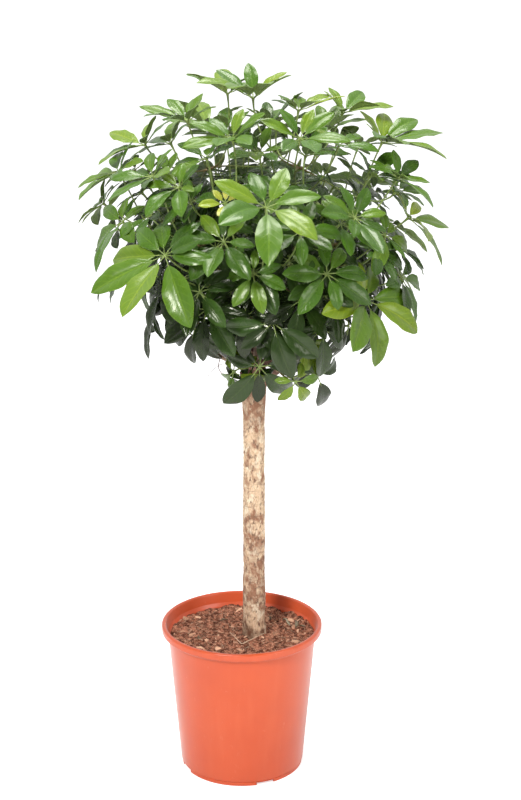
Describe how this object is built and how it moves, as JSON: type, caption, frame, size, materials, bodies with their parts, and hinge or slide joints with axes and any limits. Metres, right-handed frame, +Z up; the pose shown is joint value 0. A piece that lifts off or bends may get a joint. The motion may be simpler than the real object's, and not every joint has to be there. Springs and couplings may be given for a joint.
{
  "type": "potted umbrella plant",
  "caption": "Umbrella plant grown as a standard: a bare mottled stem with a round crown of glossy, whorled leaves, in a round plastic nursery pot of soil.",
  "frame": {"origin": "middle of the pot's underside, on the surface that the plant stands on", "axes": "+Z up along the stem, -Y towards the front, where the crown shows its largest leaves, +X to the right seen from the front"},
  "size_m": [0.6159, 0.651, 1.1911],
  "materials": {
    "pot_plastic": "satin",
    "potting_soil": "matte",
    "bark": "matte",
    "young_bark": "matte",
    "leaf": "gloss"
  },
  "bodies": {
    "root": {"pot": "pot_plastic", "soil": "potting_soil", "stem": "bark", "shoot_01": "young_bark", "shoot_02": "young_bark", "shoot_03": "young_bark", "shoot_04": "young_bark", "shoot_05": "young_bark", "shoot_06": "young_bark", "shoot_07": "young_bark", "shoot_08": "young_bark", "shoot_09": "young_bark", "shoot_10": "young_bark", "leaf_01": "leaf", "leaf_02": "leaf", "leaf_03": "leaf", "leaf_04": "leaf", "leaf_05": "leaf", "leaf_06": "leaf", "leaf_07": "leaf", "leaf_08": "leaf", "leaf_09": "leaf", "leaf_10": "leaf", "leaf_11": "leaf", "leaf_12": "leaf", "leaf_13": "leaf", "leaf_14": "leaf", "leaf_15": "leaf", "leaf_16": "leaf", "leaf_17": "leaf", "leaf_18": "leaf", "leaf_19": "leaf", "leaf_20": "leaf", "leaf_21": "leaf", "leaf_22": "leaf", "leaf_23": "leaf", "leaf_24": "leaf", "leaf_25": "leaf", "leaf_26": "leaf", "leaf_27": "leaf", "leaf_28": "leaf", "leaf_29": "leaf", "leaf_30": "leaf", "leaf_31": "leaf", "leaf_32": "leaf", "leaf_33": "leaf", "leaf_34": "leaf", "leaf_35": "leaf", "leaf_36": "leaf", "leaf_37": "leaf", "leaf_38": "leaf", "leaf_39": "leaf", "leaf_40": "leaf", "leaf_41": "leaf", "leaf_42": "leaf", "leaf_43": "leaf", "leaf_44": "leaf", "leaf_45": "leaf", "leaf_46": "leaf", "leaf_47": "leaf"}
  },
  "joints": []
}
